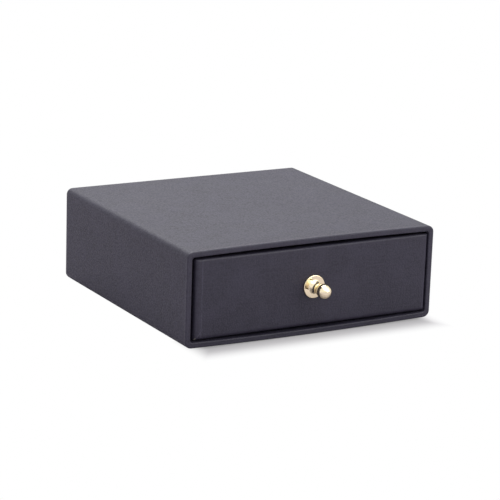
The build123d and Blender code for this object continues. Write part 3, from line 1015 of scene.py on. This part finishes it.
class NodeTree:
    """A Geometry Nodes tree being made, with an input for each named value."""

    kinds = {float: "Float", tuple: "Vector", bpy.types.Material: "Material"}

    def __init__(self, name, values):
        self.tree = bpy.data.node_groups.new(name, "GeometryNodeTree")
        self.tree.interface.new_socket("Geometry", in_out="OUTPUT", socket_type="NodeSocketGeometry")
        self.given = {}
        for title, value in values.items():
            kind = "NodeSocket" + self.kinds[type(value)]
            socket = self.tree.interface.new_socket(title, in_out="INPUT", socket_type=kind)
            self.given[socket.identifier] = value
        self.entry = self.tree.nodes.new("NodeGroupInput")

    def value(self, title):
        return self.entry.outputs[title]

    def node(self, kind, options=None, sockets=None, output=0):
        made = self.tree.nodes.new(kind)
        for name, value in (options or {}).items():
            setattr(made, name, value)
        for name, value in (sockets or {}).items():
            if isinstance(value, bpy.types.NodeSocket):
                self.tree.links.new(value, made.inputs[name])
            else:
                made.inputs[name].default_value = value
        return made.outputs[output] if made.outputs else None

    def run(self, name):
        """The plain mesh that the tree makes with its values."""
        holder = bpy.data.objects.new(name, bpy.data.meshes.new(name))
        bpy.context.scene.collection.objects.link(holder)
        modifier = holder.modifiers.new(name, "NODES")
        modifier.node_group = self.tree
        for identifier, value in self.given.items():
            modifier[identifier] = value
        shaped = holder.evaluated_get(bpy.context.evaluated_depsgraph_get())
        mesh = bpy.data.meshes.new_from_object(shaped)
        bpy.data.objects.remove(holder)
        mesh.name = name
        return mesh


class CUFFLINK_OT_slit_lips(bpy.types.Operator):
    """Roll the velvet's lips round the pad's four slits"""

    bl_idname = "cufflink_box.slit_lips"
    bl_label = "Slit Lips"

    def execute(self, context):
        size = settings().pad
        pad = bpy.data.objects["velvet_pad"]
        slit = slit_places()[0]
        beside = Vector((slit.x, slit.y + size.slit_width / 2, 1.0))
        met, touch, _, _ = pad.ray_cast(beside, Vector((0, 0, -1)))
        if not met:
            raise RuntimeError("The pad has no velvet where its slits belong")
        middle = middle_of(PAD_LOW, PAD_HIGH)
        middle.z = touch.z + size.lip * 0.35
        values = {
            "Slit length": size.slit_length,
            "Slit width": size.slit_width + size.lip,
            "Lip radius": size.lip,
            "Across": size.slit_across,
            "Along": size.slit_along,
            "Middle": tuple(middle),
            "Velvet": finish("velvet"),
        }
        nodes = NodeTree("slit_lips", values)
        sides = {"Width": nodes.value("Slit length"), "Height": nodes.value("Slit width")}
        outline = nodes.node("GeometryNodeCurvePrimitiveQuadrilateral", {}, sides)
        half = nodes.node(
            "ShaderNodeMath", {"operation": "MULTIPLY"}, {0: nodes.value("Slit width"), 1: 0.49}
        )
        rounded = nodes.node(
            "GeometryNodeFilletCurve", {"mode": "POLY"}, {"Curve": outline, "Count": 6, "Radius": half}
        )
        even = nodes.node("GeometryNodeResampleCurve", {}, {"Curve": rounded, "Count": 72})
        profile = nodes.node(
            "GeometryNodeCurvePrimitiveCircle", {}, {"Resolution": 14, "Radius": nodes.value("Lip radius")}
        )
        roll = nodes.node("GeometryNodeCurveToMesh", {}, {"Curve": even, "Profile Curve": profile})
        spread = {"Size X": nodes.value("Across"), "Size Y": nodes.value("Along")}
        places = nodes.node("GeometryNodeMeshGrid", {}, {**spread, "Vertices X": 2, "Vertices Y": 2})
        rolls = nodes.node("GeometryNodeInstanceOnPoints", {}, {"Points": places, "Instance": roll})
        moved = nodes.node(
            "GeometryNodeTransform", {}, {"Geometry": rolls, "Translation": nodes.value("Middle")}
        )
        real = nodes.node("GeometryNodeRealizeInstances", {}, {"Geometry": moved})
        dressed = nodes.node(
            "GeometryNodeSetMaterial", {}, {"Geometry": real, "Material": nodes.value("Velvet")}
        )
        nodes.node("NodeGroupOutput", {}, {"Geometry": dressed})
        lips = new_piece("slit_lips", nodes.run("slit_lips"), "velvet")
        settle(lips, "drawer", "velvet")
        return {"FINISHED"}


class CUFFLINK_OT_stage(bpy.types.Operator):
    """Set the pale floor, the even light, the lamps and the camera"""

    bl_idname = "cufflink_box.stage"
    bl_label = "Studio"

    floor_half = 3.0
    lamp_size = 0.9
    # Where the metal's bright panel and dark gap are, along the picture's right, up and towards the
    # camera, and the angles from there at which each has ended and is still full
    panel = ((0.344, 0.688, 0.638), 42, 30)
    gap = ((-0.669, 0.742, 0.057), 26, 17)

    def execute(self, context):
        scene = context.scene
        scene.view_settings.view_transform = "Standard"
        self.floor()
        self.sky(scene)
        self.lamps(scene)
        self.camera(scene)
        return {"FINISHED"}

    def floor(self):
        """A pale floor that the camera sees white, except in a strip along the box's front where it sees
        mostly the darker matt floor: a painted shadow, over which the lit shadow also shows.
        """
        shape = bmesh.new()
        bmesh.ops.create_grid(shape, x_segments=1, y_segments=1, size=self.floor_half)
        bmesh.ops.translate(shape, vec=(0, 0, TABLE), verts=shape.verts)
        floor = bpy.data.objects.new("studio_floor", as_mesh(shape, "studio_floor"))
        bpy.context.scene.collection.objects.link(floor)
        studio = settings().studio
        paint = Paint("studio_floor")
        matt = paint.node("ShaderNodeBsdfDiffuse", {}, {"Color": tuple(settings().finish.floor)})
        plain = paint.node("ShaderNodeEmission", {}, {"Color": (1.0, 1.0, 1.0), "Strength": 1.0})
        x = paint.axis(paint.place(), "X")
        y = paint.axis(paint.place(), "Y")
        # Outside a strip in front of the box the camera sees plain white; inside it, mostly the matt
        # floor, which is a painted shadow.
        front, side = CASE_LOW[1], CASE_HIGH[0]
        before = paint.fade(y, front, front - studio.shade_reach)
        behind = paint.fade(y, front + 3 * MM, front + 14 * MM)
        right = paint.fade(x, side - 5 * MM, side + studio.shade_right)
        left = paint.fade(x, -side + 10 * MM, -side)
        outside_painted_shadow = paint.either(paint.either(before, behind), paint.either(left, right))
        beyond = studio.floor_glow + (1.0 - studio.floor_glow) * outside_painted_shadow
        seen = paint.node("ShaderNodeLightPath", output="Is Camera Ray")
        both = paint.node("ShaderNodeMixShader", {}, {0: seen * beyond, 1: matt, 2: plain})
        paint.node("ShaderNodeOutputMaterial", {}, {"Surface": both})
        floor.data.materials.append(paint.material)

    def sky(self, scene):
        """Even light from all round. The camera and polished metal see it white, and the metal also a
        bright panel overhead and a dark gap beside it."""
        studio = settings().studio
        paint = Paint("studio_sky", bpy.data.worlds)
        scene.world = paint.material
        towards = paint.node("ShaderNodeTexCoord", output="Generated")
        panel = self.patch(paint, towards, *self.panel)
        gap = self.patch(paint, towards, *self.gap)
        mirrored = 1.0 + (studio.highlight - 1.0) * panel - 0.97 * gap
        camera = paint.node("ShaderNodeLightPath", output="Is Camera Ray")
        glossy = paint.node("ShaderNodeLightPath", output="Is Glossy Ray")
        strength = studio.sky * (1 - camera) * (1 - glossy) + camera + glossy * mirrored
        sky = paint.node("ShaderNodeBackground", {}, {"Color": (1.0, 1.0, 1.0), "Strength": strength})
        paint.node("ShaderNodeOutputWorld", {}, {"Surface": sky})

    @staticmethod
    def patch(paint, towards, place, outer, inner):
        """1 within inner degrees of a direction and 0 beyond outer."""
        right, up, back = view_axes()
        middle = right * place[0] + up * place[1] + back * place[2]
        near = paint.node(
            "ShaderNodeVectorMath", {"operation": "DOT_PRODUCT"}, {0: towards, 1: tuple(middle)}, "Value"
        )
        return paint.fade(near, math.cos(math.radians(outer)), math.cos(math.radians(inner)))

    def lamps(self, scene):
        """A large lamp above and behind, and a fill in front and to the right."""
        studio = settings().studio
        for name, power, tint, place in (
            ("softbox", studio.softbox, (1.0, 1.0, 1.0), (-0.02, 0.50, 1.00)),
            ("fill", studio.fill, (1.0, 0.98, 0.90), (0.60, -0.95, 0.50)),
        ):
            lamp = bpy.data.lights.new(name, "AREA")
            lamp.shape = "SQUARE"
            lamp.size = self.lamp_size
            lamp.energy = power
            lamp.color = tint
            stand = bpy.data.objects.new(name, lamp)
            place = Vector(place)
            aim = (-place).to_track_quat("-Z", "Y").to_matrix().to_4x4()
            stand.matrix_world = Matrix.Translation(place) @ aim
            scene.collection.objects.link(stand)

    def camera(self, scene):
        """Stands the camera where the box's outline falls as in the picture."""
        studio = settings().studio
        right, up, back = view_axes()
        centre = Vector((0, 0, (CASE_LOW[2] + CASE_HIGH[2]) / 2))
        place = centre + back * studio.distance + right * studio.aside + up * studio.above
        lens = bpy.data.cameras.new("camera")
        lens.sensor_width = 36
        lens.lens = studio.lens
        lens.clip_end = 20
        camera = bpy.data.objects.new("camera", lens)
        axes = Matrix((right, up, back)).transposed().to_4x4()
        camera.matrix_world = Matrix.Translation(place) @ axes
        scene.collection.objects.link(camera)
        scene.camera = camera


class CUFFLINK_PT_panel(bpy.types.Panel):
    """The cufflink box's steps, in their order"""

    bl_label = "Cufflink Box"
    bl_space_type = "VIEW_3D"
    bl_region_type = "UI"
    bl_category = "Cufflink Box"

    def draw(self, context):
        for step in STEPS:
            self.layout.operator(step.bl_idname)


STEPS = (
    CUFFLINK_OT_construction,
    CUFFLINK_OT_sleeve_cover,
    CUFFLINK_OT_drawer_cover,
    CUFFLINK_OT_ball_stud,
    CUFFLINK_OT_pad,
    CUFFLINK_OT_slit_lips,
    CUFFLINK_OT_stage,
)
GROUPS = (SleeveSizes, DrawerSizes, StudSizes, PadSizes, Finishes, Studio, BoxSettings)
CLASSES = (*GROUPS, *STEPS, CUFFLINK_PT_panel)


def register():
    for entry in CLASSES:
        bpy.utils.register_class(entry)
    bpy.types.Scene.cufflink_box = bpy.props.PointerProperty(type=BoxSettings)


def unregister():
    del bpy.types.Scene.cufflink_box
    for entry in reversed(CLASSES):
        bpy.utils.unregister_class(entry)


def main():
    register()
    for step in STEPS:
        group, name = step.bl_idname.split(".")
        getattr(getattr(bpy.ops, group), name)()


if __name__ == "__main__":
    main()
